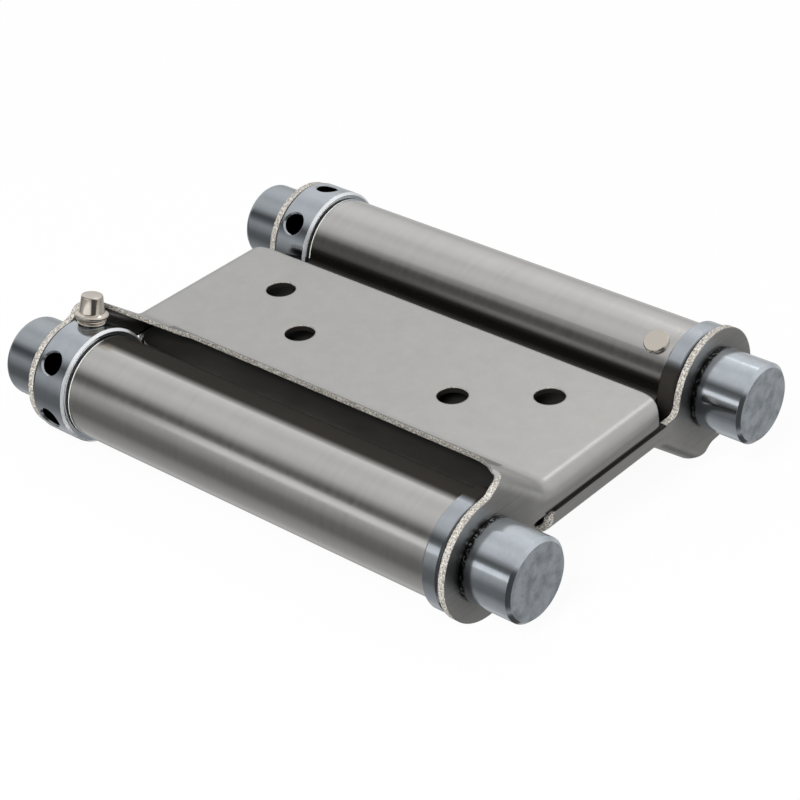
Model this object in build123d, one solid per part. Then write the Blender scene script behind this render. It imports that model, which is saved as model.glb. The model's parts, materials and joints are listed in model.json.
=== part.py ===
from build123d import *
import math
import os

# Double action cafe hinge: one sheet rolled into two barrels, a pressed leaf on each side of it,
# and in each barrel a torsion spring on a spindle. X runs along the barrels, Y from the near barrel
# to the far one, Z up out of the near leaf. The origin is midway between the barrel axes.
# All sizes are in millimetres.

# Sheet and barrels
sheet_t = 1.0
barrel_spacing = 49.2
tube_r = 7.5
web_bend_r = 1.5
seam_end_deg = 4.5
web_end_gap = 0.4
web_shoulder_to_axis = 10.7
web_corner_r = 3.8
web_notch_r = 1.0

# Leaves
leaf_half_length = 38.0
leaf_face_z = 3.65
leaf_inner_edge_to_axis = 12.8
leaf_outer_edge_to_axis = 11.5
leaf_bend_r = 2.15
leaf_split_gap = 0.3
ring_ear_step = 1.05
collar_ear_step = 0.65
ear_hump_r = 3.1
ear_hump_y = 3.6
ear_hump_z = 6.8
ear_hump_blend_r = 2.5
ear_foot_r = 1.5
ramp_angle_deg = 38.5
ramp_start_to_edge = 0.2
ramp_blend_r = 3.5
tab_run_x = 9.6
tab_end_to_axis = 2.7
tab_edge_r = 5.0
outer_corner_x = 4.3
outer_corner_y = 1.6
flange_corner_r = 3.3

# Screw holes
screw_hole_r = 2.2
outer_hole_to_end = 13.3
outer_hole_y = 5.1
inner_hole_to_end = 24.0
inner_hole_y = -2.4

# Spindle, caps and washers
spindle_r = 2.5
cap_r = 5.8
cap_length = 7.65
cap_chamfer = 0.5
cap_round_r = 1.0
cap_socket_depth = 5.5
washer_r = 6.0
washer_t = 0.42

# Spring end plug with its ring, and its rivet
ring_step = 0.75
ring_length = 2.6
ring_chamfer = 0.3
plug_length = 8.5
rivet_head_r = 1.8
rivet_head_t = 0.5
rivet_shank_r = 1.5
rivet_length = 3.2
rivet_inset = 3.0
rivet_angle_deg = -30.0

# Tension collar and pin
collar_step = 0.9
collar_length = 6.05
collar_chamfer = 0.35
collar_spigot_length = 6.5
collar_to_tube = 0.3
collar_hole_r = 1.6
collar_hole_inset = 2.55
collar_hole_depth = 4.2
collar_hole_count = 6
collar_hole_chamfer = 0.25
pin_angle_deg = 12.0
pin_height = 4.25
pin_tip_r = 1.55
pin_foot_r = 1.8
pin_shoulder_r = 2.45
pin_shoulder_t = 0.8
pin_neck_length = 0.95
pin_edge = 0.2

# Torsion spring
spring_wire_r = 1.1
spring_bore_gap = 0.55
spring_turns = 8.5
spring_leg_length = 4.0
spring_leg_relief = 0.02
spring_end_gap = 0.3

# Clearances
running_gap = 0.06
face_gap = 0.1
seat_gap = 0.04
press_gap = 0.02

# Construction: how far a cut runs past a face, and how near an edge must lie to be picked
cut_past = 1.0
pick_near = 0.01

barrel_y = barrel_spacing / 2
tube_bore_r = tube_r - sheet_t
ring_ear_r = tube_r + ring_ear_step
collar_ear_r = tube_r + collar_ear_step
ring_r = tube_r + ring_step
collar_r = tube_r + collar_step
spring_mean_r = tube_bore_r - spring_wire_r - spring_bore_gap
spring_leg_r = spring_wire_r - spring_leg_relief
leaf_inner_edge_y = barrel_y - leaf_inner_edge_to_axis
leaf_outer_edge_y = barrel_y - leaf_outer_edge_to_axis
ear_inner_x = leaf_half_length - sheet_t
web_half_length = ear_inner_x - web_end_gap
web_shoulder_y = barrel_y - web_shoulder_to_axis
collar_x_outer = -ear_inner_x + face_gap
collar_x_inner = collar_x_outer + collar_length
tube_x_collar_end = collar_x_inner + collar_to_tube
spigot_x_end = collar_x_inner + collar_spigot_length
pin_x = collar_x_outer + collar_hole_inset
washer_x = ear_inner_x - seat_gap - washer_t
ring_x = washer_x - seat_gap - ring_length
tube_x_ring_end = ring_x - seat_gap
plug_x_start = ring_x - plug_length
rivet_x = ring_x - rivet_inset
barrel_axis = Location((0, -barrel_y, 0))
half_turn = Location((0, 0, 0), (180, 0, 0))


def along_x(radius, x_start, x_end):
    """A round bar along X."""
    bar = Cylinder(radius, x_end - x_start, rotation=(0, 90, 0))
    return bar.moved(Location(((x_start + x_end) / 2, 0, 0)))


def profile_along_x(sketch, x_start, x_end):
    """A face drawn in Y and Z, drawn out along X."""
    plane = Plane(origin=(x_start, 0, 0), x_dir=(0, 1, 0), z_dir=(1, 0, 0))
    return extrude(plane * sketch, amount=x_end - x_start)


def turned(points):
    """A body turned about X from its half outline, given as pairs of X and radius."""
    outline = Polyline(*points, close=True)
    return revolve(make_face(outline), axis=Axis.X, revolution_arc=360)


def radial(solid, angle_deg, x):
    """Turn a body built along +Z to an angle from +Z towards +Y, at a place along X."""
    return solid.moved(Location((x, 0, 0), (-angle_deg, 0, 0)))


def polar(centre, radius, angle_deg):
    """A point in Y and Z at an angle from +Y towards +Z."""
    angle = math.radians(angle_deg)
    return (centre[0] + radius * math.cos(angle), centre[1] + radius * math.sin(angle))


def rolled_half():
    """Section of the near barrel and its half of the web: the sheet bends down and rolls under."""
    half_t = sheet_t / 2
    mid_r = tube_r - half_t
    bend_mid_r = web_bend_r + half_t
    centre = (-barrel_y, 0)
    reach = math.sqrt((mid_r + bend_mid_r) ** 2 - bend_mid_r ** 2)
    bend = (centre[0] + reach, -bend_mid_r)
    meet = math.degrees(math.atan2(-bend_mid_r, reach))
    half_way = (meet + seam_end_deg - 360) / 2
    bend_half_way = (90 + 180 + meet) / 2
    last = seam_end_deg - 360
    top = Line((0, half_t), (bend[0], half_t))
    over = ThreePointArc(
        (bend[0], half_t),
        polar(bend, bend_mid_r + half_t, bend_half_way),
        polar(centre, tube_bore_r, meet),
    )
    bore = ThreePointArc(
        polar(centre, tube_bore_r, meet),
        polar(centre, tube_bore_r, half_way),
        polar(centre, tube_bore_r, last),
    )
    end = Line(polar(centre, tube_bore_r, last), polar(centre, tube_r, last))
    skin = ThreePointArc(
        polar(centre, tube_r, last),
        polar(centre, tube_r, half_way),
        polar(centre, tube_r, meet),
    )
    under = ThreePointArc(
        polar(centre, tube_r, meet),
        polar(bend, web_bend_r, bend_half_way),
        (bend[0], -half_t),
    )
    bottom = Line((bend[0], -half_t), (0, -half_t))
    close = Line((0, -half_t), (0, half_t))
    return make_face(Wire([top, over, bore, end, skin, under, bottom, close]))


def sheet_outline():
    """Plan of the rolled sheet: the web reaches past the barrels' ends, with rounded corners."""
    web = RectangleRounded(2 * web_half_length, 2 * web_shoulder_y, web_corner_r)
    barrels = Rectangle(tube_x_ring_end - tube_x_collar_end, barrel_spacing + 4 * tube_r)
    barrels = Pos((tube_x_ring_end + tube_x_collar_end) / 2, 0) * barrels
    outline = web + barrels
    corners = outline.vertices().filter_by(lambda v: abs(abs(v.Y) - web_shoulder_y) < pick_near)
    corners = corners.filter_by(
        lambda v: min(abs(v.X - tube_x_ring_end), abs(v.X - tube_x_collar_end)) < pick_near
    )
    return fillet(corners, web_notch_r)


def centre_plate():
    """The rolled sheet with both barrels, pierced for the two rivets."""
    half = profile_along_x(rolled_half(), -web_half_length, web_half_length)
    sheet = half + half.moved(half_turn)
    sheet = sheet & extrude(sheet_outline(), amount=2 * tube_r, both=True)
    drill = Pos(0, 0, tube_r) * Cylinder(rivet_shank_r + running_gap, tube_r)
    hole = radial(drill, 180 + rivet_angle_deg, rivet_x).moved(barrel_axis)
    return sheet - hole - hole.moved(half_turn)


def ramp_profile(depth):
    """Side view of the space under a leaf's skin, lowered by a depth: flat, then a ramp up to the ear."""
    angle = math.radians(ramp_angle_deg)
    level = leaf_face_z - depth
    blend = ramp_blend_r + depth
    kink_y = depth * math.tan(angle / 2) - leaf_inner_edge_y - ramp_start_to_edge
    far = barrel_y + 2 * ring_ear_r
    top_z = level + (far + kink_y) * math.tan(angle)
    corner = Polyline((far, level), (kink_y, level), (-far, top_z), (-far, -far), (far, -far), close=True)
    face = make_face(corner)
    kink = face.vertices().sort_by_distance((kink_y, level, 0))[0]
    return fillet(kink, blend)


def leaf_skin(depth, bend_r):
    """The pressed form's outside at no depth, or its inside at the depth of the sheet."""
    half_x = leaf_half_length - depth
    block = profile_along_x(ramp_profile(depth), -half_x, half_x)
    rims = block.edges().filter_by(lambda e: abs(abs(e.center().X) - half_x) < pick_near)
    lowest = leaf_face_z - depth - pick_near
    rims = rims.filter_by(lambda e: min(v.Z for v in e.vertices()) > lowest)
    return fillet(rims, bend_r)


def leaf_side_outline(ear_r):
    """Side view of a leaf: flange edge, round ear about the barrel axis, and the ear's hump."""
    flange_low = leaf_split_gap / 2
    hump_y = -barrel_y + ear_hump_y
    top = ear_hump_z + ear_hump_r
    ear = Pos(-barrel_y, 0) * Circle(ear_r)
    hump = Pos(hump_y, ear_hump_z) * Circle(ear_hump_r)
    width = leaf_outer_edge_y - hump_y
    body = Pos(hump_y + width / 2, (flange_low + top) / 2) * Rectangle(width, top - flange_low)
    outline = ear + hump + body
    foot_y = -barrel_y + math.sqrt(ear_r ** 2 - flange_low ** 2)
    foot = outline.vertices().sort_by_distance((foot_y, flange_low, 0))[0]
    outline = fillet(foot, ear_foot_r)
    notch = outline.vertices().sort_by_distance((-barrel_y, ear_r, 0))[0]
    outline = fillet(notch, ear_hump_blend_r)
    end = outline.vertices().sort_by_distance((leaf_outer_edge_y, flange_low, 0))[0]
    return fillet(end, flange_corner_r)


def leaf_plan_outline():
    """Plan of a leaf: straight edge beside its barrel, slanted edges up to the ears, eased corners."""
    ear_x = ear_inner_x - face_gap
    tab_edge_x = ear_inner_x - tab_run_x
    slope = (barrel_y - tab_end_to_axis - leaf_inner_edge_y) / tab_run_x
    slant_end_y = leaf_inner_edge_y + slope * (ear_x - tab_edge_x)
    far = barrel_y + 2 * ring_ear_r
    wide = leaf_half_length + cut_past
    corner_r = (outer_corner_x ** 2 + outer_corner_y ** 2) / (2 * outer_corner_y)
    ease_x = leaf_half_length - outer_corner_x
    sweep = math.asin((wide - ease_x) / corner_r)
    centre = (ease_x, leaf_outer_edge_y - corner_r)
    mid = (centre[0] + corner_r * math.sin(sweep / 2), centre[1] + corner_r * math.cos(sweep / 2))
    last = (wide, centre[1] + corner_r * math.cos(sweep))
    near = Polyline((0, -leaf_inner_edge_y), (tab_edge_x, -leaf_inner_edge_y), (ear_x, -slant_end_y))
    near_end = Polyline((ear_x, -slant_end_y), (ear_x, -far), (wide, -far), last)
    ease = ThreePointArc(last, mid, (ease_x, leaf_outer_edge_y))
    back = Polyline((ease_x, leaf_outer_edge_y), (0, leaf_outer_edge_y), (0, -leaf_inner_edge_y))
    half = make_face(Wire(near.edges() + near_end.edges() + [ease.edge()] + back.edges()))
    half = Sketch() + half
    knee = half.vertices().sort_by_distance((tab_edge_x, -leaf_inner_edge_y, 0))[0]
    half = fillet(knee, tab_edge_r)
    return half + mirror(half, about=Plane.YZ)


def screw_hole_places():
    """Plan places of a leaf's four screw holes: an outer pair and an inner pair."""
    pairs = ((outer_hole_to_end, outer_hole_y), (inner_hole_to_end, inner_hole_y))
    return [(side * (leaf_half_length - to_end), y) for to_end, y in pairs for side in (-1, 1)]


def near_leaf():
    """The upper leaf, with its ears on the near barrel."""
    leaf = leaf_skin(0, leaf_bend_r) - leaf_skin(sheet_t, leaf_bend_r - sheet_t)
    collar_side = profile_along_x(leaf_side_outline(collar_ear_r), -leaf_half_length - cut_past, 0)
    ring_side = profile_along_x(leaf_side_outline(ring_ear_r), 0, leaf_half_length + cut_past)
    leaf = leaf & (collar_side + ring_side)
    leaf = leaf & extrude(leaf_plan_outline(), amount=2 * barrel_y, both=True)
    bore = along_x(spindle_r + running_gap, -2 * leaf_half_length, 2 * leaf_half_length)
    leaf = leaf - bore.moved(barrel_axis)
    for x, y in screw_hole_places():
        leaf = leaf - Pos(x, y, leaf_face_z) * Cylinder(screw_hole_r, 4 * sheet_t)
    return leaf


def spindle():
    """Plain rod through both ears, ending inside the two caps."""
    reach = leaf_half_length + face_gap + cap_socket_depth - seat_gap
    return along_x(spindle_r, -reach, reach)


def cap_body(rim):
    """A cap outside an ear, with a blind socket for the spindle and a given outer rim."""
    start = leaf_half_length + face_gap
    outline = [(start, 0), (start, cap_r)] + rim(start + cap_length) + [(start + cap_length, 0)]
    cap = turned(outline)
    return cap - along_x(spindle_r + press_gap, start - cut_past, start + cap_socket_depth)


def ring_end_cap():
    """The cap at the ring end, with a chamfered rim."""
    return cap_body(lambda end: [(end - cap_chamfer, cap_r), (end, cap_r - cap_chamfer)])


def collar_end_cap():
    """The cap at the collar end, with a rounded rim."""
    cap = cap_body(lambda end: [(end, cap_r)])
    rim = cap.edges().filter_by(GeomType.CIRCLE).sort_by(lambda e: e.center().X + e.radius)[-1]
    return mirror(fillet(rim, cap_round_r), about=Plane.YZ)


def thrust_washer():
    """Flat washer between the ring and the ear."""
    washer = along_x(washer_r, washer_x, washer_x + washer_t)
    return washer - along_x(spindle_r + running_gap, washer_x - cut_past, ear_inner_x + cut_past)


def spring_leg_hole(x_mouth, direction, turn_deg):
    """The hole in a plug's face that takes a leg of the spring."""
    depth = spring_leg_length + spring_end_gap
    y, z = polar((0, 0), spring_mean_r, turn_deg)
    low = min(x_mouth, x_mouth + direction * depth)
    high = max(x_mouth, x_mouth + direction * depth)
    return along_x(spring_wire_r + running_gap, low, high).moved(Location((0, y, z)))


def spring_length():
    """Length of the coiled part between the two plugs, from wire centre to wire centre."""
    return plug_x_start - spigot_x_end - 2 * (spring_wire_r + spring_end_gap)


def end_plug():
    """Ring and spring anchor turned as one piece: the ring closes the barrel, the body sits in it."""
    end = ring_x + ring_length
    c = ring_chamfer
    body_r = tube_bore_r - running_gap
    plug = turned([
        (plug_x_start, 0), (plug_x_start, body_r - c), (plug_x_start + c, body_r), (ring_x, body_r),
        (ring_x, ring_r - c), (ring_x + c, ring_r), (end - c, ring_r), (end, ring_r - c), (end, 0),
    ])
    plug = plug - along_x(spindle_r + running_gap, plug_x_start - cut_past, end + cut_past)
    plug = plug - spring_leg_hole(plug_x_start, 1, 90 + 360 * spring_turns)
    socket = Pos(0, 0, tube_r) * Cylinder(rivet_shank_r + running_gap, 2 * rivet_length)
    return plug - radial(socket, 180 + rivet_angle_deg, rivet_x)


def anchor_rivet():
    """The rivet through the barrel's wall that holds the plug."""
    head = Pos(0, 0, tube_r + rivet_head_t / 2) * Cylinder(rivet_head_r, rivet_head_t)
    rim = head.edges().filter_by(GeomType.CIRCLE).sort_by(Axis.Z)[-1]
    head = chamfer(rim, rivet_head_t / 4)
    shank = Pos(0, 0, tube_r - rivet_length / 2) * Cylinder(rivet_shank_r, rivet_length)
    return radial(head + shank, 180 + rivet_angle_deg, rivet_x)


def tension_collar():
    """The collar that winds the spring: a ring of radial holes, and a spigot inside the barrel."""
    c = collar_chamfer
    spigot_r = tube_bore_r - running_gap
    collar = turned([
        (collar_x_outer, 0), (collar_x_outer, collar_r - c), (collar_x_outer + c, collar_r),
        (collar_x_inner - c, collar_r), (collar_x_inner, collar_r - c), (collar_x_inner, spigot_r),
        (spigot_x_end - c, spigot_r), (spigot_x_end, spigot_r - c), (spigot_x_end, 0),
    ])
    collar = collar - along_x(spindle_r + running_gap, collar_x_outer - cut_past, spigot_x_end + cut_past)
    collar = collar - spring_leg_hole(spigot_x_end, -1, 90)
    hole = Pos(0, 0, collar_r) * Cylinder(collar_hole_r, 2 * collar_hole_depth)
    for i in range(collar_hole_count):
        angle = pin_angle_deg + i * 360 / collar_hole_count
        collar = collar - radial(hole, angle, pin_x)
    mouths = collar.edges().filter_by(lambda e: e.geom_type not in (GeomType.CIRCLE, GeomType.LINE))
    return chamfer(mouths, collar_hole_chamfer)


def tension_pin():
    """The pin that stops the collar against the leaf: plug end, neck, shoulder and tapered head."""
    low = collar_r - collar_hole_depth + seat_gap
    top = collar_r + pin_height
    neck_end = collar_r + pin_neck_length
    shoulder_end = neck_end + pin_shoulder_t
    shank_r = collar_hole_r - running_gap
    neck_r = pin_foot_r - pin_edge
    outline = Polyline(
        (0, low), (shank_r, low), (shank_r, collar_r + seat_gap), (neck_r, collar_r + pin_edge),
        (neck_r, neck_end), (pin_shoulder_r - pin_edge, neck_end),
        (pin_shoulder_r, neck_end + pin_edge), (pin_shoulder_r, shoulder_end - pin_edge),
        (pin_shoulder_r - pin_edge, shoulder_end), (pin_foot_r, shoulder_end),
        (pin_tip_r, top - pin_edge), (pin_tip_r - pin_edge, top), (0, top), close=True,
    )
    pin = revolve(Plane.XZ * make_face(outline), axis=Axis.Z, revolution_arc=360)
    return radial(pin, pin_angle_deg, pin_x)


def torsion_spring():
    """Round wire coil with a straight leg along X at each end."""
    start = spigot_x_end + spring_end_gap + spring_wire_r
    end = start + spring_length()
    path = Helix(spring_length() / spring_turns, spring_length(), spring_mean_r)
    wire = sweep(Plane(origin=path @ 0, z_dir=path % 0) * Circle(spring_wire_r), path=path, is_frenet=True)
    coil = wire.moved(Location((0, 0, 0), (0, 90, 0))).moved(Location((start, 0, 0), (180, 0, 0)))
    leg = spring_leg_length + spring_end_gap + spring_wire_r
    legs = []
    for x, turn_deg, low, high in ((start, 90, -leg, 0), (end, 90 + 360 * spring_turns, 0, leg)):
        y, z = polar((0, 0), spring_mean_r, turn_deg)
        straight = Sphere(spring_leg_r) + along_x(spring_leg_r, low, high)
        legs.append(straight.moved(Location((x, y, z))))
    return coil.fuse(*legs)


def write(name, solid):
    """Write one node's STEP file."""
    solid.label = name
    export_step(solid, os.path.join("parts", name + ".step"))


def main():
    os.makedirs("parts", exist_ok=True)
    write("centre_plate", centre_plate())
    leaf = near_leaf()
    write("near_leaf", leaf)
    write("far_leaf", leaf.moved(half_turn))
    fittings = {
        "spindle": spindle(),
        "collar_end_cap": collar_end_cap(),
        "ring_end_cap": ring_end_cap(),
        "thrust_washer": thrust_washer(),
        "end_plug": end_plug(),
        "anchor_rivet": anchor_rivet(),
        "tension_collar": tension_collar(),
        "tension_pin": tension_pin(),
        "torsion_spring": torsion_spring(),
    }
    for name, piece in fittings.items():
        near = piece.moved(barrel_axis)
        write("near_" + name, near)
        write("far_" + name, near.moved(half_turn))


main()
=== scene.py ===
import json
import math

import bpy
from mathutils import Matrix, Vector


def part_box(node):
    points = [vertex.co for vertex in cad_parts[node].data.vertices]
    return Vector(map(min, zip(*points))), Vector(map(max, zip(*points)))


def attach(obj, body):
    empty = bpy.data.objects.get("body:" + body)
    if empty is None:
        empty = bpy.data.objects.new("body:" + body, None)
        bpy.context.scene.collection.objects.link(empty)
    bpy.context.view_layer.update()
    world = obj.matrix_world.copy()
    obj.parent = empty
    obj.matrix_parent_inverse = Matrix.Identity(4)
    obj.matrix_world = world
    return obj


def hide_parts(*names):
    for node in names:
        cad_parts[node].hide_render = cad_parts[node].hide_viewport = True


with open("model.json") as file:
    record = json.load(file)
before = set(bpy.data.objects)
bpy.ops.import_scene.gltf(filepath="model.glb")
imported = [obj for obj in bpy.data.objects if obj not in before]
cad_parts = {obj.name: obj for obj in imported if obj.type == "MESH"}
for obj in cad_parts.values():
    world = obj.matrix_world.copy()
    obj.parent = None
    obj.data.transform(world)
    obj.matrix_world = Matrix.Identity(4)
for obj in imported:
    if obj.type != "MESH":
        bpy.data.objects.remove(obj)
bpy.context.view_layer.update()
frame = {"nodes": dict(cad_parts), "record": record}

bl_info = {
    "name": "Double action cafe hinge",
    "version": (1, 0, 0),
    "blender": (4, 5, 0),
    "location": "3D View > Sidebar > Hinge",
    "description": "Finishes for a sprung double action hinge, with a studio to view it in",
    "category": "Object",
}

COLLARS = ("near_tension_collar", "far_tension_collar")
PLUGS = ("near_end_plug", "far_end_plug")
RING_END_CAPS = ("near_ring_end_cap", "far_ring_end_cap")
COLLAR_END_CAPS = ("near_collar_end_cap", "far_collar_end_cap")
PIN_BODIES = {"near_tension_pin": "near_pin", "far_tension_pin": "far_pin"}
RIVETS = ("near_anchor_rivet", "far_anchor_rivet")
SPRINGS = ("near_torsion_spring", "far_torsion_spring")
SPINDLES = ("near_spindle", "far_spindle")
WASHERS = ("near_thrust_washer", "far_thrust_washer")

MM = 0.001


def box_mm(node):
    """A piece's lowest and highest corners, in millimetres."""
    return [[value / MM for value in corner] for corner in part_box(node)]


# Places that the finishes need, in millimetres. These are read from the frame.
COLLAR_LOW, COLLAR_HIGH = box_mm("near_tension_collar")
PIN_LOW, PIN_HIGH = box_mm("near_tension_pin")
CAP_FACE_X = box_mm("near_ring_end_cap")[1][0]
EAR_OUTER_X, LEAF_FAR_Y, _ = box_mm("near_leaf")[1]
LEAF_FACE_Z = frame["record"]["mounts"][0]["pos_m"][2] / MM
COLLAR_R = (COLLAR_HIGH[2] - COLLAR_LOW[2]) / 2
BARREL_Y = -(COLLAR_LOW[1] + COLLAR_HIGH[1]) / 2
COLLAR_HOLE_X = -(PIN_LOW[0] + PIN_HIGH[0]) / 2

# These repeat values of the part's source: lengths in millimetres, and the pins' lean.
SHEET = 1.0
INNER_EDGE_Y = 11.8
COLLAR_LENGTH = 6.05
PIN_LEAN = math.radians(12.0)

# How far each finish reaches, in millimetres. A pair is the two sides of a soft edge.
FLANGE_INNER_X = 30.0
SCREW_HOLES_Y = 10.5
LIP_BELOW_FACE = (-0.24, -0.14)
ROLL_OVER_FROM_EDGE = (0.12, 0.35)
SEAM_HALF_HEIGHT = (0.40, 0.55)
# The painted shade on the ear faces round each cap reaches this far from the barrel's axis.
CAP_SHADE_RADIUS = (5.5, 10.5)
WEB_EDGE_Y = (15.0, 18.0)
# The barrels' painted dark zone: its soft edge, its reach in from the barrel's axis, and the extra reach
# of each roll's last part beside the web.
DARK_ZONE_EDGE = (-0.4, 0.9)
DARK_ZONE_FROM_AXIS = 6.0
DARK_ZONE_EXTRA_REACH = 6.5
ROLL_END_HEIGHT = (-2.0, 2.0)
TUBE_END_BAND = 0.50
TUBE_INNER_Y = 17.2
FOOT_SHADE_HEIGHT = (0.15, 0.45)
FOOT_RAGGEDNESS = 0.9
COLLAR_HOLE_HALF_WIDTH = 1.85
COLLAR_HOLE_DEPTH = (0.5, 0.2)
FACE_SLACK = 0.05
EDGE_SLACK = 0.02

# How squarely a surface faces along an axis: 0 is edge on and 1 is square on.
SHEARED_FACE_Z = 0.3
SHEARED_FACE_X = 0.85
EAR_EDGE_FACE_X = 0.5
CAP_SHADE_FACE_X = 0.7
# The flanges' painted shade comes in on faces this square to X.
FLANGE_FACE_X = (0.6, 0.95)
# The leaves' inner side, dull and darkened as painted shade, is where faces look this squarely away from
# the outer face.
UNDER_FACE_Z = (0.5, 0.9)
FLAT_END_FACE_X = 0.9
RIM_HIGHLIGHT_FACE_X = (0.35, 0.95)

# Noise of the finishes: features a millimetre along X, Y and Z, then detail and roughness.
LEAF_CLOUD = ((0.45, 0.45, 0.45), 3.0, 0.5)
LEAF_BRUSHING = ((0.5, 7.0, 7.0), 3.0, 0.6)
LEAF_GRIT = ((2.0, 5.0, 5.0), 3.0, 0.7)
PRESS_MARKS = ((2.6, 0.10, 2.6), 3.0, 0.6)
SHEARED_GRAIN = ((4.2, 4.2, 4.2), 4.0, 0.7)
BARREL_BRUSHING = ((7.0, 0.30, 0.30), 2.0, 0.55)
BARREL_BANDS = ((1.1, 0.06, 0.06), 2.0, 0.5)
BARREL_CLOUD = ((0.16, 0.16, 0.16), 2.0, 0.5)
WEB_STAIN = ((0.12, 0.25, 0.25), 3.0, 0.6)
ZINC_BLOTCH = ((0.55, 0.55, 0.55), 4.0, 0.6)
ZINC_SPECK = ((3.2, 3.2, 3.2), 3.0, 0.6)
TURNING_MARKS = ((5.0, 0.5, 0.5), 2.0, 0.5)
FOOT_LINE = ((1.3, 1.3, 1.3), 3.0, 0.7)
FOOT_BURR = ((2.6, 2.6, 2.6), 2.0, 0.7)
PIN_SCRATCHES = ((2.0, 2.0, 9.0), 3.0, 0.6)
DRAWING_STREAKS = ((0.4, 3.0, 3.0), 3.0, 0.5)

# The levels of a noise between which its marks come in.
SPARKLE = (0.40, 0.62)
STAINED = (0.40, 0.66)
BURRED = (0.56, 0.62)

# Colours that a user would not change.
# Painted shade on the walls of the leaves' screw holes.
PAINTED_HOLE_SHADE = (0.025, 0.022, 0.02)
SHEARED_GROUND = (0.30, 0.27, 0.23)
# Painted shade on the leaves' rounded inner edges.
ROLL_OVER_SHADE = (0.10, 0.09, 0.08)
ZINC_STAIN = (0.30, 0.34, 0.37)
# Near black of painted shade at the caps' feet and in the collars' holes, and of the rings' painted dark
# reflection.
PAINTED_SHADE_DARK = (0.035, 0.032, 0.03)
# Near white of the painted highlight on the collars' sloping edges.
RIM_HIGHLIGHT_COLOUR = (0.93, 0.95, 0.97)
SPINDLE_STEEL = (0.40, 0.39, 0.38)
WASHER_STEEL = (0.10, 0.095, 0.09)
WHITE = (1.0, 1.0, 1.0, 1.0)

# Depths of the fine relief, in millimetres. The sheared grain is deeper than the brushing by its factor.
LEAF_RELIEF = 0.0012
SHEARED_RELIEF_FACTOR = 190.0
BARREL_RELIEF = 0.0009
ZINC_RELIEF = 0.003
NICKEL_RELIEF = 0.001

# The edges' rounding, in edge radii.
SHEET_ROUNDING = 2.5
PIN_ROUNDING = 0.4

# How bright each plated turning is beside the ring end caps. The collars and the collar end caps, at the
# barrels' other ends, are dimmed copies of the same zinc as painted shade.
COLLAR_SHADE = 0.88
RING_SHADE = 0.85
COLLAR_END_CAP_SHADE = 0.7

# How far each surface is from bare bright metal: 0 is not at all, and 1 is wholly matt.
SHEARED_LOSS = 0.7
WEB_LOSS = 0.35
RIM_HIGHLIGHT_LOSS = 0.35
# How wholly the matt coat of the painted dark reflection hides the gloss.
PAINTED_DARK_COVER = 0.92

# The pins' turned shape from the foot up: height over the collar's surface and radius, in millimetres.
PIN_PROFILE = (
    (-4.15, 1.40), (-4.05, 1.53), (-0.05, 1.53), (0.04, 1.75), (0.12, 1.93), (0.24, 2.00),
    (0.36, 1.93), (0.43, 1.74), (0.47, 1.72), (0.52, 1.90), (0.60, 2.12), (0.70, 2.18),
    (0.82, 2.12), (0.89, 1.92), (0.94, 1.90), (0.99, 2.18), (1.08, 2.38), (1.20, 2.44),
    (1.38, 2.44), (1.50, 2.36), (1.60, 2.18), (1.66, 1.95), (1.72, 1.83), (1.86, 1.77),
    (3.96, 1.54), (4.10, 1.51), (4.19, 1.44), (4.24, 1.34), (4.25, 1.20),
)
TURN_STEPS = 64
SHARP_EDGE = math.radians(40)
BEVEL_SAMPLES = 6

# The tent's light by the turn about X: 0 is below, 0.25 behind, 0.5 above and 0.75 in front. The levels
# were fitted until the bands on the barrels lay as they do in the photograph.
TENT_LEVELS = (
    (0.000, 0.48), (0.030, 0.60), (0.083, 0.40), (0.136, 0.32), (0.172, 0.46), (0.200, 0.68),
    (0.251, 0.54), (0.307, 0.76), (0.362, 0.86), (0.418, 0.84), (0.474, 0.66), (0.529, 0.74),
    (0.585, 0.60), (0.618, 0.22), (0.640, 0.02), (0.672, 0.10), (0.717, 0.44), (0.751, 0.34),
    (0.800, 0.12), (0.861, 0.10), (0.903, 0.26), (0.944, 0.34), (0.986, 0.42),
)
OPENING_TOWARD = (0.78, -0.57, -0.26)
OPENING_EDGE = (0.72, 0.86)
DARK_BELOW = (0.12, 0.05, -0.99)
DARK_BELOW_EDGE = (0.90, 0.95)
OPENING_DIMNESS = 0.98

# How much of the plain white backdrop the camera sees on the floor, and the metal's mirroring anywhere.
FLOOR_WHITE = 0.95
WHITE_MIRRORED = 0.06

# The floor and the lamps, in metres.
FLOOR_REACH = 3.0
FLOOR_GAP = 0.02 * MM
LAMP_CENTRE = (-0.34, 0.74, 0.89)
LAMP_SIZE = 0.30
STRIP_CENTRE = (-0.013, -0.186, 0.060)
STRIP_LENGTH = 0.266
STRIP_WIDTH = 0.042
FILL_CENTRE = (0.25, -0.70, 0.67)
FILL_SIZE = 0.4

# The camera: its sensor's width in millimetres, and the nearest and farthest that it sees, in metres.
SENSOR_WIDTH = 36.0
CLIP_START = 10 * MM
CLIP_END = 10.0


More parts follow.
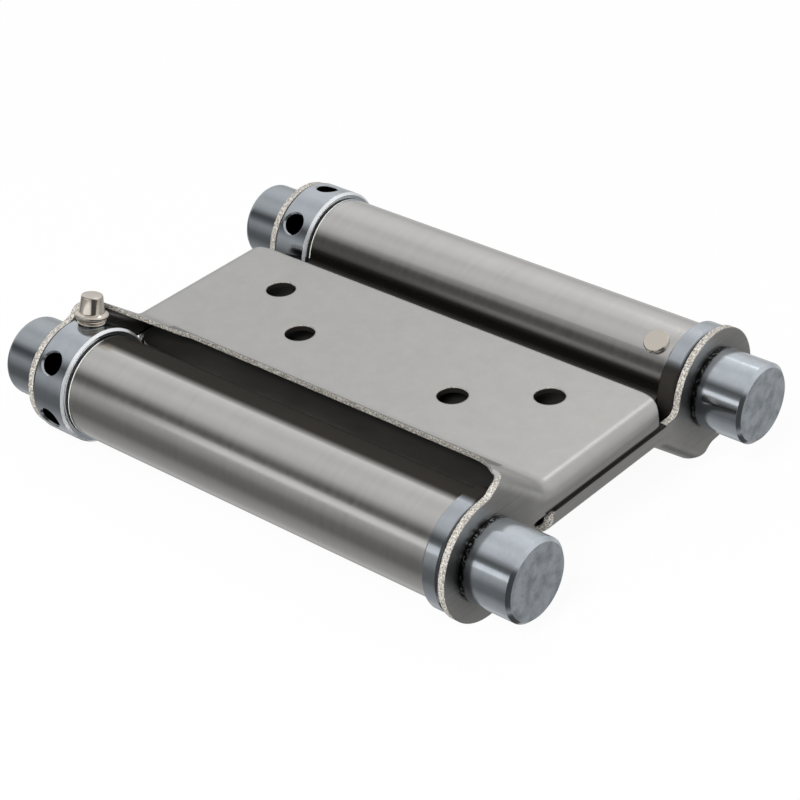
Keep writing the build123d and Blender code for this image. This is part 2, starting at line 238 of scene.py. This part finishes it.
class Wire:
    """One value in a shader. Python's arithmetic on it adds Math nodes."""

    def __init__(self, shader, socket):
        self.shader = shader
        self.socket = socket

    def maths(self, operation, *values):
        return self.shader.node("ShaderNodeMath", {"operation": operation}, dict(enumerate(values)))

    def __add__(self, other):
        return self.maths("ADD", self, other)

    def __radd__(self, other):
        return self.maths("ADD", other, self)

    def __sub__(self, other):
        return self.maths("SUBTRACT", self, other)

    def __rsub__(self, other):
        return self.maths("SUBTRACT", other, self)

    def __mul__(self, other):
        return self.maths("MULTIPLY", self, other)

    def __rmul__(self, other):
        return self.maths("MULTIPLY", other, self)

    def __truediv__(self, other):
        return self.maths("DIVIDE", self, other)

    def __rtruediv__(self, other):
        return self.maths("DIVIDE", other, self)

    def __pow__(self, other):
        return self.maths("POWER", self, other)

    def __neg__(self):
        return self.maths("MULTIPLY", self, -1.0)

    def __abs__(self):
        return self.maths("ABSOLUTE", self)

    def __gt__(self, other):
        return self.maths("GREATER_THAN", self, other)

    def __lt__(self, other):
        return self.maths("LESS_THAN", self, other)

    def most(self, other):
        return self.maths("MAXIMUM", self, other)


class Shader:
    """The nodes of one material or world."""

    def __init__(self, owner):
        owner.use_nodes = True
        self.tree = owner.node_tree
        self.tree.nodes.clear()

    def node(self, kind, settings=None, sockets=None, output=0):
        """Adds a node: its settings first, then its sockets' values or links. Gives back one output."""
        node = self.tree.nodes.new(kind)
        for name, value in (settings or {}).items():
            if name == "stops":
                self.set_stops(node.color_ramp, value)
            else:
                setattr(node, name, value)
        for name, value in (sockets or {}).items():
            if isinstance(value, Wire):
                self.tree.links.new(value.socket, node.inputs[name])
            else:
                node.inputs[name].default_value = value
        return Wire(self, node.outputs[output]) if node.outputs else None

    @staticmethod
    def set_stops(ramp, stops):
        while len(ramp.elements) < len(stops):
            ramp.elements.new(1.0)
        for element, (place, level) in zip(ramp.elements, stops):
            element.position = place
            element.color = (level, level, level, 1.0)

    def place(self):
        """Position on the object, in millimetres."""
        return self.scaled(self.node("ShaderNodeTexCoord", output=3), 1 / MM)

    def facing(self):
        """The surface's own direction, in the object's axes."""
        return self.node("ShaderNodeTexCoord", output=1)

    def parts(self, vector):
        split = self.node("ShaderNodeSeparateXYZ", sockets={0: vector})
        return [Wire(self, out) for out in split.socket.node.outputs]

    def scaled(self, vector, scale):
        """A vector or colour with all its parts scaled alike."""
        return self.node("ShaderNodeVectorMath", {"operation": "SCALE"}, {0: vector, "Scale": scale})

    def grain(self, place, pattern):
        """One of the noises listed above, from 0 to 1."""
        per_mm, detail, roughness = pattern
        stretched = self.node("ShaderNodeVectorMath", {"operation": "MULTIPLY"}, {0: place, 1: per_mm})
        sockets = {"Vector": stretched, "Scale": 1.0, "Detail": detail, "Roughness": roughness}
        return self.node("ShaderNodeTexNoise", {"normalize": True}, sockets)

    def rise(self, value, low, high):
        """0 below low, 1 above high, and a straight rise between them."""
        sockets = {"Value": value, "From Min": low, "From Max": high, "To Min": 0.0, "To Max": 1.0}
        return self.node("ShaderNodeMapRange", {"clamp": True}, sockets)

    def fall(self, value, low, high):
        """1 below low, 0 above high, and a straight fall between them."""
        return 1.0 - self.rise(value, low, high)

    def along(self, direction, way):
        """How nearly a direction points one way: 1 is straight along it."""
        settings = {"operation": "DOT_PRODUCT"}
        return self.node("ShaderNodeVectorMath", settings, {0: direction, 1: way}, output=1)

    def rays(self, kind):
        """1 for light rays of one kind, such as Is Camera Ray, and 0 for others."""
        return Wire(self, self.node("ShaderNodeLightPath").socket.node.outputs[kind])

    def mix(self, mask, first, second):
        """A colour that goes from first to second as mask goes from 0 to 1."""
        settings = {"data_type": "RGBA", "clamp_factor": True}
        return self.node("ShaderNodeMix", settings, {0: mask, 6: first, 7: second}, output=2)

    def blend(self, share, first, second):
        """A surface or background that goes from first to second as share goes from 0 to 1."""
        return self.node("ShaderNodeMixShader", sockets={0: share, 1: first, 2: second})

    def background(self, strength):
        return self.node("ShaderNodeBackground", sockets={"Color": WHITE, "Strength": strength})


def rgba(colour, factor=1.0):
    return tuple(factor * part for part in colour[:3]) + (1.0,)


def colour_property(name, description, default):
    return bpy.props.FloatVectorProperty(
        name=name, description=description, default=default, size=3, min=0.0, max=1.0, subtype="COLOR"
    )


def share_property(name, description, default):
    return bpy.props.FloatProperty(
        name=name, description=description, default=default, min=0.0, max=1.0, subtype="FACTOR"
    )


def length_property(name, description, default):
    return bpy.props.FloatProperty(name=name, description=description, default=default, unit="LENGTH")


def power_property(name, description, default):
    return bpy.props.FloatProperty(name=name, description=description, default=default, unit="POWER")


def angle_property(name, description, default):
    return bpy.props.FloatProperty(
        name=name, description=description, default=math.radians(default), subtype="ANGLE"
    )


class HingeFinishes(bpy.types.PropertyGroup):
    """Colours and polish of the hinge's metals."""

    leaf_colour: colour_property("Leaf steel", "Brushed stainless of the leaves", (0.56, 0.555, 0.54))
    leaf_roughness: share_property("Leaf roughness", "How far the leaves' brushing spreads light", 0.36)
    cut_colour: colour_property("Cut edge", "Bright grains of a sheared edge", (1.0, 0.97, 0.90))
    # Partly painted shade: a dull finish, darkened so that the gaps between the sheets look dark.
    dull_shaded_colour: colour_property("Inner side", "Dull hidden sides of the sheets", (0.20, 0.195, 0.185))
    barrel_colour: colour_property("Barrel steel", "Polished stainless of the rolls", (0.68, 0.67, 0.655))
    barrel_roughness: share_property("Barrel roughness", "How far the barrels' polish spreads light", 0.2)
    zinc_colour: colour_property("Zinc", "Bluish plate of collars, rings and caps", (0.70, 0.755, 0.81))
    zinc_roughness: share_property("Zinc roughness", "How far the plated turnings spread light", 0.15)
    nickel_colour: colour_property("Nickel", "Bright plate of the pins and rivets", (0.80, 0.74, 0.66))
    # The dark of the seams where the leaves meet, and of the painted dark reflection on the barrels' rolls
    # and the rings.
    seam_and_painted_dark_colour: colour_property("Mill film", "Brown film that no polish reached", (0.030, 0.027, 0.024))
    wire_colour: colour_property("Spring wire", "Oiled wire of the torsion springs", (0.16, 0.155, 0.15))
    edge_radius: length_property("Edge radius", "Rounding of the sheet's and turnings' edges", 0.12 * MM)


class HingeStudio(bpy.types.PropertyGroup):
    """The camera, the light tent, the lamps and the floor."""

    lens: bpy.props.FloatProperty(
        name="Lens", description="Focal length", default=108.73, subtype="DISTANCE_CAMERA"
    )
    distance: length_property("Distance", "From the camera to the point it looks at", 331.3 * MM)
    azimuth: angle_property("Azimuth", "Turn of the camera about the hinge, from looking along Y", -42.79)
    elevation: angle_property("Elevation", "Height of the camera above the hinge", 32.48)
    roll: angle_property("Roll", "Turn of the camera about its own line of sight", -3.77)
    aim: bpy.props.FloatVectorProperty(
        name="Aim",
        description="The point that the camera looks at",
        default=(5.11 * MM, -3.23 * MM, 0),
        unit="LENGTH",
    )
    tent_light: bpy.props.FloatProperty(
        name="Tent", description="Strength of the light tent", default=0.85
    )
    lamp_power: power_property("Lamp", "Power of the soft lamp", 0.45)
    strip_power: power_property("Strip", "Power of the strip lamp", 0.019)
    fill_power: power_property("Fill", "Power of the fill lamp", 10.0)
    floor_colour: colour_property("Floor", "Colour of the plain floor", (0.85, 0.85, 0.85))


def new_material(name):
    material = bpy.data.materials.new(name)
    return material, Shader(material)


def put_surface(
    shader, colour, roughness, height=None, depth=0.0, rounding=1.0, metallic=1.0, film=None
):
    """Ends a material as metal, with its edges rounded and a fine relief: a height, and the depth in
    millimetres of a height of 1. Where the film mask is 1, a matt dark brown coat hides most of the gloss,
    as a painted dark reflection."""
    finishes = bpy.context.scene.hinge_finishes
    sockets = {"Base Color": colour, "Roughness": roughness, "Metallic": metallic}
    if rounding:
        radius = rounding * finishes.edge_radius
        sockets["Normal"] = shader.node("ShaderNodeBevel", {"samples": BEVEL_SAMPLES}, {"Radius": radius})
    if height is not None:
        relief = {"Strength": 1.0, "Distance": depth * MM, "Height": height}
        if rounding:
            relief["Normal"] = sockets["Normal"]
        sockets["Normal"] = shader.node("ShaderNodeBump", sockets=relief)
    surface = shader.node("ShaderNodeBsdfPrincipled", sockets=sockets)
    if film is not None:
        matt = shader.node("ShaderNodeBsdfDiffuse", sockets={"Color": rgba(finishes.seam_and_painted_dark_colour)})
        surface = shader.blend(PAINTED_DARK_COVER * film, surface, matt)
    shader.node("ShaderNodeOutputMaterial", sockets={0: surface})


def from_barrel_axis(y, z):
    """Distance from the axis of the nearer barrel."""
    return ((abs(y) - BARREL_Y) ** 2.0 + z * z) ** 0.5


def leaf_steel(finishes, name, side):
    """Brushed stainless sheet, with its inner side dull and darkened as painted shade, painted shade on
    its flanges, round the caps, in its screw holes and on its rounded inner edge, and bright grain where
    it is sheared.
    The side is 1 where the leaf's outer face looks up and -1 where it looks down."""
    material, shader = new_material(name)
    place = shader.place()
    x, y, z = shader.parts(place)
    face_x, _, face_z = shader.parts(shader.facing())

    between_flanges = abs(x) < FLANGE_INNER_X
    on_plan = (abs(face_x) < SHEARED_FACE_X).most(between_flanges)
    sheared_plan = (abs(face_z) < SHEARED_FACE_Z) * on_plan
    sheared_flange = (abs(x) > EAR_OUTER_X - SHEET + EDGE_SLACK) * (abs(face_x) < EAR_EDGE_FACE_X)
    sheared = sheared_plan.most(sheared_flange)
    in_hole = sheared_plan * (abs(y) < SCREW_HOLES_Y) * between_flanges
    lip = shader.rise(z * side, *[LEAF_FACE_Z + depth for depth in LIP_BELOW_FACE])
    roll_over_y = [inward - INNER_EDGE_Y for inward in ROLL_OVER_FROM_EDGE]
    painted_roll_over_shade = shader.fall(y * side, *roll_over_y) * between_flanges
    seam = shader.fall(abs(z), *SEAM_HALF_HEIGHT) * (abs(y) < LEAF_FAR_Y)
    # Painted shade: the ear faces are darkened round each cap.
    painted_cap_shade = (abs(face_x) > CAP_SHADE_FACE_X) * shader.fall(from_barrel_axis(y, z), *CAP_SHADE_RADIUS)
    flange = shader.rise(abs(face_x), *FLANGE_FACE_X)
    shaded_underside = shader.rise(-face_z * side, *UNDER_FACE_Z)

    cloud = shader.grain(place, LEAF_CLOUD)
    brushing = shader.grain(place, LEAF_BRUSHING)
    grit = shader.grain(place, LEAF_GRIT)
    press = shader.grain(place, PRESS_MARKS)
    grain = shader.grain(place, SHEARED_GRAIN)
    # Painted shade: the flanges and ears facing along X are darkened, made patchy by the press-mark noise.
    painted_flange_shade = (0.14 + 0.30 * (press - 0.5)) * flange
    tone = (0.85 + 0.14 * cloud + 0.05 * brushing + 0.12 * grit) * (1.0 - painted_flange_shade - 0.34 * painted_cap_shade)

    sheet = shader.scaled(finishes.leaf_colour[:], tone)
    # Partly painted shade: the leaf's inner side takes the dark inner colour, a dull finish darkened as
    # shade between leaf and web.
    sheet = shader.mix(shaded_underside, sheet, rgba(finishes.dull_shaded_colour))
    # Painted shade on the sheet's rounded inner edge.
    sheet = shader.mix(0.55 * painted_roll_over_shade, sheet, rgba(ROLL_OVER_SHADE))
    edge = shader.mix(shader.rise(grain, *SPARKLE), rgba(SHEARED_GROUND), rgba(finishes.cut_colour))
    # Painted shade: the screw holes' walls are near black below a lip that keeps the grain.
    edge = shader.mix(in_hole * (1.0 - lip), edge, rgba(PAINTED_HOLE_SHADE))
    colour = shader.mix(seam, shader.mix(sheared, sheet, edge), rgba(finishes.seam_and_painted_dark_colour))
    polish = finishes.leaf_roughness + 0.10 * (brushing - 0.5) + 0.08 * sheared + 0.2 * shaded_underside
    height = brushing * (1.0 - sheared) + SHEARED_RELIEF_FACTOR * grain * sheared * (1.0 - in_hole)
    metallic = 1.0 - SHEARED_LOSS * sheared
    put_surface(shader, colour, polish, height, LEAF_RELIEF, rounding=SHEET_ROUNDING, metallic=metallic)
    return material


def painted_dark_zone(shader, y, z):
    """Where the barrels are painted dark: the web, darkened as painted shade over a dull finish, and each
    roll's last part beside the web, as a painted dark reflection.
    """
    inward = BARREL_Y - abs(y)
    roll_end = shader.rise(-z * y / BARREL_Y, *ROLL_END_HEIGHT)
    return shader.rise(inward - DARK_ZONE_FROM_AXIS + DARK_ZONE_EXTRA_REACH * roll_end, *DARK_ZONE_EDGE)


def barrel_steel(finishes):
    """Polished stainless with fine brushing that runs round the barrels. The web is darkened as painted
    shade over a dull finish, and each roll's last part beside the web carries a painted dark reflection.
    """
    material, shader = new_material("barrel_polished_steel")
    place = shader.place()
    x, y, z = shader.parts(place)
    film = painted_dark_zone(shader, y, z)
    web = shader.fall(abs(y), *WEB_EDGE_Y)
    # Painted dark reflection: a matt dark coat on each roll's last part beside the web.
    painted_roll_reflection = film * (y * z < 0.0) * (1.0 - web)
    cut_end = (x < COLLAR_LOW[0] + COLLAR_LENGTH + TUBE_END_BAND) * (abs(y) > TUBE_INNER_Y)

    fine = shader.grain(place, BARREL_BRUSHING)
    broad = shader.grain(place, BARREL_BANDS)
    cloud = shader.grain(place, BARREL_CLOUD)
    stain = shader.grain(place, WEB_STAIN)
    polished = shader.scaled(finishes.barrel_colour[:], 0.87 + 0.10 * cloud + 0.09 * fine + 0.09 * broad)
    # The web's tone: a dull finish with stains, darkened as painted shade between the leaves.
    web_tone = shader.mix(stain, rgba(finishes.dull_shaded_colour, 0.22), rgba(finishes.dull_shaded_colour, 0.6))
    dark_zone_colour = shader.mix(web, rgba(finishes.seam_and_painted_dark_colour, 2.0), web_tone)
    colour = shader.mix(film, polished, dark_zone_colour)
    colour = shader.mix(cut_end, colour, rgba(finishes.cut_colour, 0.85))
    polish = finishes.barrel_roughness + 0.10 * (broad - 0.5) + 0.06 * (fine - 0.5) + 0.12 * web
    metallic = 1.0 - SHEARED_LOSS * cut_end - WEB_LOSS * web
    put_surface(shader, colour, polish, fine, BARREL_RELIEF, metallic=metallic, film=painted_roll_reflection)
    return material


def zinc_plate(finishes, name, shade=1.0, kind="cap"):
    """Bright zinc plate with a blue cast, blotched on the caps' flat ends. The shade dims it, and on the
    collars and collar end caps that is painted shade.
    Caps have painted shade at their foot with bright burrs, rings carry the barrels' painted dark
    reflection, and collars have painted shade in their holes and a painted highlight on their sloping
    edges."""
    material, shader = new_material(name)
    place = shader.place()
    x, y, z = shader.parts(place)
    face_x, _, _ = shader.parts(shader.facing())
    blotch = shader.grain(place, ZINC_BLOTCH)
    speck = shader.grain(place, ZINC_SPECK)
    turning = shader.grain(place, TURNING_MARKS)
    flat_end = (abs(face_x) > FLAT_END_FACE_X) * (abs(x) > CAP_FACE_X - FACE_SLACK)
    stain = shader.rise(blotch, *STAINED) * (0.12 + 0.58 * flat_end)
    colour = shader.scaled(finishes.zinc_colour[:], shade * (0.95 + 0.06 * turning + 0.04 * speck))
    colour = shader.mix(stain, colour, rgba(ZINC_STAIN))
    polish = finishes.zinc_roughness + 0.14 * stain + 0.08 * flat_end + 0.06 * (speck - 0.5)
    metallic = 1.0
    film = None
    if kind == "cap":
        # Painted shade at each cap's foot where it meets the ear, ragged, with bright burrs.
        ragged = abs(x) - EAR_OUTER_X - FOOT_RAGGEDNESS * shader.grain(place, FOOT_LINE)
        foot = shader.fall(ragged, *FOOT_SHADE_HEIGHT) * (abs(face_x) < FLAT_END_FACE_X)
        burr = shader.rise(shader.grain(place, FOOT_BURR), *BURRED)
        colour = shader.mix(foot, colour, shader.mix(burr, rgba(PAINTED_SHADE_DARK), rgba(finishes.zinc_colour)))
    if kind == "ring":
        # Painted dark reflection: the rings carry the barrels' painted dark zone, near black and matt.
        film = painted_dark_zone(shader, y, z)
        colour = shader.mix(film, colour, rgba(PAINTED_SHADE_DARK))
    if kind == "collar":
        # Painted shade: near black inside the collar's holes.
        in_hole = abs(abs(x) - COLLAR_HOLE_X) < COLLAR_HOLE_HALF_WIDTH
        hole_wall = [COLLAR_R - depth for depth in COLLAR_HOLE_DEPTH]
        painted_bore_shade = shader.fall(from_barrel_axis(y, z), *hole_wall) * in_hole
        # Painted highlight: the collar's sloping edges are near white and less metal.
        sloping = (abs(face_x) > RIM_HIGHLIGHT_FACE_X[0]) * (abs(face_x) < RIM_HIGHLIGHT_FACE_X[1])
        painted_rim_highlight = sloping * (1.0 - in_hole)
        colour = shader.mix(painted_bore_shade, shader.mix(painted_rim_highlight, colour, rgba(RIM_HIGHLIGHT_COLOUR)), rgba(PAINTED_SHADE_DARK))
        metallic = 1.0 - RIM_HIGHLIGHT_LOSS * painted_rim_highlight
    relief = 0.6 * blotch + 0.4 * speck
    put_surface(shader, colour, polish, relief, ZINC_RELIEF, metallic=metallic, film=film)
    return material


def nickel_plate(finishes):
    """Bright nickel with the fine scratches of a barrelled small part."""
    material, shader = new_material("bright_nickel_plate")
    scratch = shader.grain(shader.place(), PIN_SCRATCHES)
    colour = shader.scaled(finishes.nickel_colour[:], 0.92 + 0.14 * scratch)
    put_surface(shader, colour, 0.07 + 0.08 * scratch, scratch, NICKEL_RELIEF, rounding=PIN_ROUNDING)
    return material


def drawn_steel(name, base, rough):
    """Plain steel of the pieces inside, drawn and lightly oiled."""
    material, shader = new_material(name)
    streak = shader.grain(shader.place(), DRAWING_STREAKS)
    colour = shader.scaled(base[:], 0.8 + 0.4 * streak)
    put_surface(shader, colour, rough + 0.15 * (streak - 0.5), rounding=0.0)
    return material


def dress(nodes, material):
    """Gives each of these CAD pieces the material, in every slot that it has."""
    for node in nodes:
        piece = frame["nodes"][node]
        if not piece.material_slots:
            piece.data.materials.append(material)
        for slot in piece.material_slots:
            slot.material = material


class HINGE_OT_centre_plate(bpy.types.Operator):
    """Finish the rolled sheet with its two barrels"""

    bl_idname = "hinge.centre_plate"
    bl_label = "Centre plate"

    def execute(self, context):
        dress(["centre_plate"], barrel_steel(context.scene.hinge_finishes))
        return {"FINISHED"}


class HINGE_OT_leaves(bpy.types.Operator):
    """Finish the two pressed leaves"""

    bl_idname = "hinge.leaves"
    bl_label = "Leaves"

    def execute(self, context):
        finishes = context.scene.hinge_finishes
        dress(["near_leaf"], leaf_steel(finishes, "near_leaf_steel", 1.0))
        dress(["far_leaf"], leaf_steel(finishes, "far_leaf_steel", -1.0))
        return {"FINISHED"}


class HINGE_OT_turnings(bpy.types.Operator):
    """Finish the zinc plated collars, end plugs and caps"""

    bl_idname = "hinge.turnings"
    bl_label = "Collars, rings and caps"

    def execute(self, context):
        finishes = context.scene.hinge_finishes
        dress(COLLARS, zinc_plate(finishes, "collar_zinc", COLLAR_SHADE, "collar"))
        dress(PLUGS, zinc_plate(finishes, "ring_zinc", RING_SHADE, "ring"))
        dress(RING_END_CAPS, zinc_plate(finishes, "bright_zinc"))
        dress(COLLAR_END_CAPS, zinc_plate(finishes, "painted_shade_zinc", COLLAR_END_CAP_SHADE))
        return {"FINISHED"}


def turned_mesh(name, profile):
    """A smooth turned piece about its own Z, from heights and radii in millimetres."""
    turns = [math.tau * step / TURN_STEPS for step in range(TURN_STEPS)]
    sides = [(math.cos(turn), math.sin(turn)) for turn in turns]
    corners = [(r * cos * MM, r * sin * MM, height * MM) for height, r in profile for cos, sin in sides]
    foot = tuple(reversed(range(TURN_STEPS)))
    top = tuple(range(len(corners) - TURN_STEPS, len(corners)))
    faces = [foot, top]
    for ring in range(len(profile) - 1):
        lower = ring * TURN_STEPS
        upper = lower + TURN_STEPS
        for side in range(TURN_STEPS):
            after = (side + 1) % TURN_STEPS
            faces.append((lower + side, lower + after, upper + after, upper + side))
    mesh = bpy.data.meshes.new(name)
    mesh.from_pydata(corners, [], faces)
    mesh.shade_smooth()
    mesh.set_sharp_from_angle(angle=SHARP_EDGE)
    return mesh


def fit_pin(node, nickel):
    """Stands a turned pin in its collar, in place of the plainer one."""
    mesh = turned_mesh(node + "_turned", [(COLLAR_R + rise, r) for rise, r in PIN_PROFILE])
    barrel = Matrix.Translation((-COLLAR_HOLE_X * MM, -BARREL_Y * MM, 0))
    stand = barrel @ Matrix.Rotation(-PIN_LEAN, 4, "X")
    if node.startswith("far"):
        stand = Matrix.Rotation(math.pi, 4, "X") @ stand
    mesh.transform(stand)
    mesh.materials.append(nickel)
    pin = bpy.data.objects.new(mesh.name, mesh)
    bpy.context.scene.collection.objects.link(pin)
    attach(pin, PIN_BODIES[node])
    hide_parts(node)


class HINGE_OT_pins(bpy.types.Operator):
    """Turn the tension pins with their grooved shoulders, and finish them and the anchor rivets"""

    bl_idname = "hinge.pins"
    bl_label = "Pins and rivets"

    def execute(self, context):
        nickel = nickel_plate(context.scene.hinge_finishes)
        for node in PIN_BODIES:
            fit_pin(node, nickel)
        dress(RIVETS, nickel)
        return {"FINISHED"}


class HINGE_OT_inner_works(bpy.types.Operator):
    """Finish the springs, spindles and thrust washers"""

    bl_idname = "hinge.inner_works"
    bl_label = "Springs, spindles and washers"

    def execute(self, context):
        wire = context.scene.hinge_finishes.wire_colour
        dress(SPRINGS, drawn_steel("oiled_spring_wire", wire, 0.38))
        dress(SPINDLES, drawn_steel("drawn_steel_rod", SPINDLE_STEEL, 0.32))
        dress(WASHERS, drawn_steel("dark_steel_washer", WASHER_STEEL, 0.5))
        return {"FINISHED"}


def backdrop_share(shader, seen):
    """How much of the plain white each kind of ray sees: the camera most, and mirroring a little."""
    clear = shader.rays("Is Camera Ray").most(shader.rays("Is Transmission Ray"))
    return seen * clear + WHITE_MIRRORED * shader.rays("Is Glossy Ray")


def tent_world(studio):
    """A light tent with two dim openings, seen as plain white by the camera."""
    world = bpy.data.worlds.new("light_tent")
    shader = Shader(world)
    direction = shader.node("ShaderNodeTexCoord", output=0)
    _, y, z = shader.parts(direction)
    turn = y.maths("ARCTAN2", -y, z) / math.tau + 0.5
    walls = shader.node("ShaderNodeValToRGB", {"stops": TENT_LEVELS}, {0: turn})
    in_front = shader.rise(shader.along(direction, OPENING_TOWARD), *OPENING_EDGE)
    beneath = shader.rise(shader.along(direction, DARK_BELOW), *DARK_BELOW_EDGE)
    openings = in_front.most(beneath)
    tent = shader.background(studio.tent_light * walls * (1.0 - OPENING_DIMNESS * openings))
    backdrop = shader.background(1.0)
    seen = shader.blend(backdrop_share(shader, 1.0), tent, backdrop)
    shader.node("ShaderNodeOutputWorld", sockets={0: seen})
    bpy.context.scene.world = world


def floor_material(studio):
    """Plain pale floor: white to the camera, with the hinge's soft shadow kept on it. The metal's
    mirroring looks through it to the tent."""
    material, shader = new_material("plain_floor")
    matt = shader.node("ShaderNodeBsdfDiffuse", sockets={"Color": rgba(studio.floor_colour)})
    white = shader.node("ShaderNodeEmission", sockets={"Color": WHITE, "Strength": 1.0})
    pale = shader.blend(backdrop_share(shader, FLOOR_WHITE), matt, white)
    clear = shader.node("ShaderNodeBsdfTransparent")
    surface = shader.blend(shader.rays("Is Glossy Ray"), pale, clear)
    shader.node("ShaderNodeOutputMaterial", sockets={0: surface})
    return material


def lay_floor(studio):
    """A floor that the near ears and the far tension pin stand on."""
    ear_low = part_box("near_leaf")[0]
    pin_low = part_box("far_tension_pin")[0]
    ear_y = -BARREL_Y * MM
    tilt = -math.atan((ear_low[2] - pin_low[2]) / (pin_low[1] - ear_y))
    height = ear_low[2] / math.cos(tilt) - FLOOR_GAP
    corners = []
    for x, y in ((-1, -1), (1, -1), (1, 1), (-1, 1)):
        away = y * FLOOR_REACH
        corners.append((x * FLOOR_REACH, away, height + math.tan(tilt) * (away - ear_y)))
    mesh = bpy.data.meshes.new("floor")
    mesh.from_pydata(corners, [], [(0, 1, 2, 3)])
    mesh.materials.append(floor_material(studio))
    floor = bpy.data.objects.new("floor", mesh)
    bpy.context.scene.collection.objects.link(floor)


def hang_lamp(name, centre, length, width, power, mirrored=True):
    """A soft lamp that faces the hinge. It lights everything, and polished metal shows the lamp itself
    only where it is mirrored."""
    lamp = bpy.data.lights.new(name, "AREA")
    lamp.shape = "RECTANGLE"
    lamp.size = length
    lamp.size_y = width
    lamp.energy = power
    holder = bpy.data.objects.new(name, lamp)
    holder.location = centre
    holder.rotation_euler = Vector(centre).to_track_quat("Z", "Y").to_euler()
    holder.visible_camera = False
    holder.visible_glossy = mirrored
    bpy.context.scene.collection.objects.link(holder)


def place_camera(studio):
    """A camera on a sphere about its aim, turned by its roll."""
    camera = bpy.data.cameras.new("camera")
    camera.lens = studio.lens
    camera.sensor_width = SENSOR_WIDTH
    camera.clip_start = CLIP_START
    camera.clip_end = CLIP_END
    holder = bpy.data.objects.new("camera", camera)
    level = math.cos(studio.elevation)
    toward = Vector((
        -math.sin(studio.azimuth) * level, -math.cos(studio.azimuth) * level, math.sin(studio.elevation)
    ))
    turn = toward.to_track_quat("Z", "Y").to_matrix().to_4x4()
    place = Matrix.Translation(Vector(studio.aim) + studio.distance * toward)
    holder.matrix_world = place @ turn @ Matrix.Rotation(studio.roll, 4, "Z")
    bpy.context.scene.collection.objects.link(holder)
    bpy.context.scene.camera = holder


class HINGE_OT_studio(bpy.types.Operator):
    """Set up the light tent, the lamps, the floor and the camera"""

    bl_idname = "hinge.studio"
    bl_label = "Studio"

    def execute(self, context):
        studio = context.scene.hinge_studio
        tent_world(studio)
        lay_floor(studio)
        hang_lamp("soft_lamp", LAMP_CENTRE, LAMP_SIZE, LAMP_SIZE, studio.lamp_power)
        hang_lamp("strip_lamp", STRIP_CENTRE, STRIP_LENGTH, STRIP_WIDTH, studio.strip_power)
        hang_lamp("fill_lamp", FILL_CENTRE, FILL_SIZE, FILL_SIZE, studio.fill_power, mirrored=False)
        place_camera(studio)
        context.scene.view_settings.view_transform = "Standard"
        return {"FINISHED"}


class HINGE_PT_panel(bpy.types.Panel):
    """The hinge's finishes and studio, and a button for each group of pieces"""

    bl_idname = "HINGE_PT_panel"
    bl_label = "Double action hinge"
    bl_space_type = "VIEW_3D"
    bl_region_type = "UI"
    bl_category = "Hinge"

    def draw(self, context):
        for group in (context.scene.hinge_finishes, context.scene.hinge_studio):
            box = self.layout.box()
            for name in group.__annotations__:
                box.prop(group, name)
        for operator in OPERATORS:
            self.layout.operator(operator.bl_idname)


OPERATORS = (
    HINGE_OT_centre_plate,
    HINGE_OT_leaves,
    HINGE_OT_turnings,
    HINGE_OT_pins,
    HINGE_OT_inner_works,
    HINGE_OT_studio,
)
CLASSES = (HingeFinishes, HingeStudio) + OPERATORS + (HINGE_PT_panel,)


def register():
    for cls in CLASSES:
        bpy.utils.register_class(cls)
    bpy.types.Scene.hinge_finishes = bpy.props.PointerProperty(type=HingeFinishes)
    bpy.types.Scene.hinge_studio = bpy.props.PointerProperty(type=HingeStudio)


def unregister():
    del bpy.types.Scene.hinge_finishes
    del bpy.types.Scene.hinge_studio
    for cls in reversed(CLASSES):
        bpy.utils.unregister_class(cls)


def main():
    register()
    bpy.ops.hinge.centre_plate()
    bpy.ops.hinge.leaves()
    bpy.ops.hinge.turnings()
    bpy.ops.hinge.pins()
    bpy.ops.hinge.inner_works()
    bpy.ops.hinge.studio()


if __name__ == "__main__":
    main()
